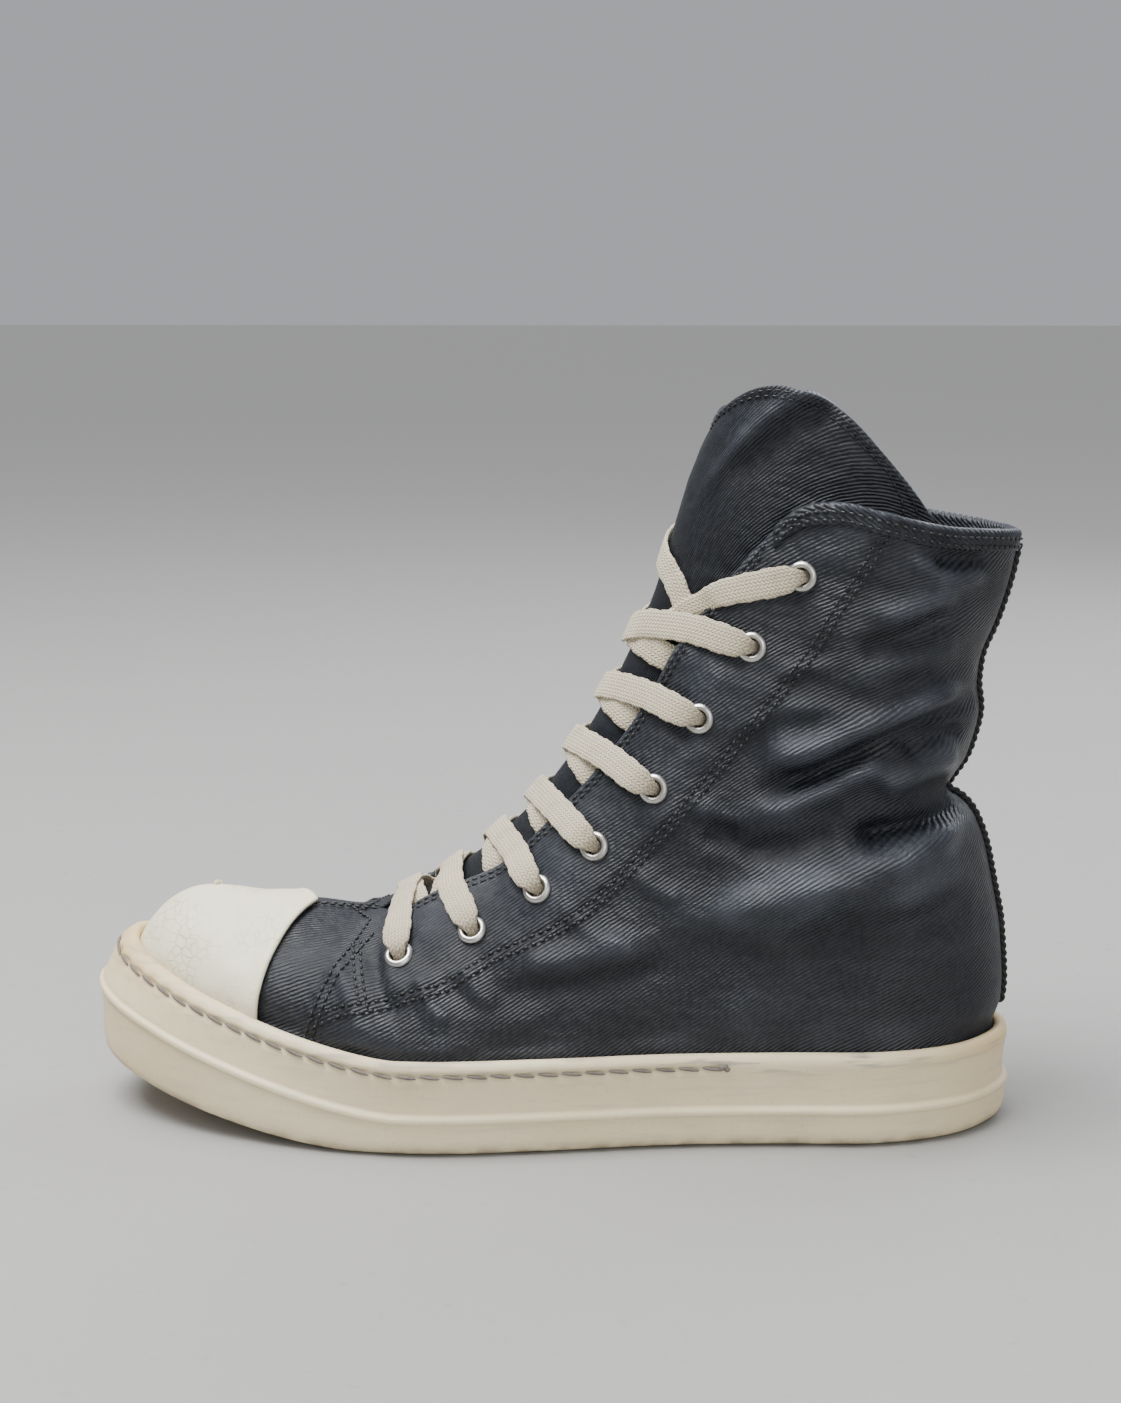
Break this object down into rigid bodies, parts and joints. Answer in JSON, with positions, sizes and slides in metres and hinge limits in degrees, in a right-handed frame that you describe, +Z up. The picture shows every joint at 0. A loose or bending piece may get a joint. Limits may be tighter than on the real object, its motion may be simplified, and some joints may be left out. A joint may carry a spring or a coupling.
{
  "type": "high-top sneaker",
  "caption": "Worn left high-top lace-up sneaker with a dark waxed cloth upper, cream toe cap, thick cream cup sole and a tall fan-shaped tongue.",
  "frame": {"origin": "on the floor under the middle of the shoe's length and width", "axes": "-X towards the toe, -Y towards the outer side of the foot, +Z up out of the leg opening"},
  "size_m": [0.307, 0.1098, 0.241],
  "materials": {
    "rubber_sole": "cream, yellowed and scuffed, satin",
    "waxed_cloth": "dark waxed twill, soft sheen on its folds",
    "cap_leather": "cream white, fine cracks, satin",
    "lining": "dull woven lining",
    "lace_cotton": "flat cotton braid, off-white and stained",
    "eyelet_nickel": "satin nickel, slightly dulled",
    "cord_black": "matt twisted cord"
  },
  "bodies": {
    "root": {"cup_sole": "rubber_sole", "insole": "lining", "upper": "waxed_cloth", "toe_cap": "cap_leather", "collar_hem_outer": "waxed_cloth", "collar_hem_inner": "waxed_cloth", "heel_cord": "cord_black", "tongue": "waxed_cloth", "eyelet_outer_1": "eyelet_nickel", "eyelet_outer_2": "eyelet_nickel", "eyelet_outer_3": "eyelet_nickel", "eyelet_outer_4": "eyelet_nickel", "eyelet_outer_5": "eyelet_nickel", "eyelet_outer_6": "eyelet_nickel", "eyelet_outer_7": "eyelet_nickel", "eyelet_outer_8": "eyelet_nickel", "eyelet_inner_1": "eyelet_nickel", "eyelet_inner_2": "eyelet_nickel", "eyelet_inner_3": "eyelet_nickel", "eyelet_inner_4": "eyelet_nickel", "eyelet_inner_5": "eyelet_nickel", "eyelet_inner_6": "eyelet_nickel", "eyelet_inner_7": "eyelet_nickel", "eyelet_inner_8": "eyelet_nickel", "lace_crossing_1": "lace_cotton", "lace_crossing_2": "lace_cotton", "lace_crossing_3": "lace_cotton", "lace_crossing_4": "lace_cotton", "lace_crossing_5": "lace_cotton", "lace_crossing_6": "lace_cotton", "lace_crossing_7": "lace_cotton", "lace_crossing_8": "lace_cotton"}
  },
  "joints": []
}
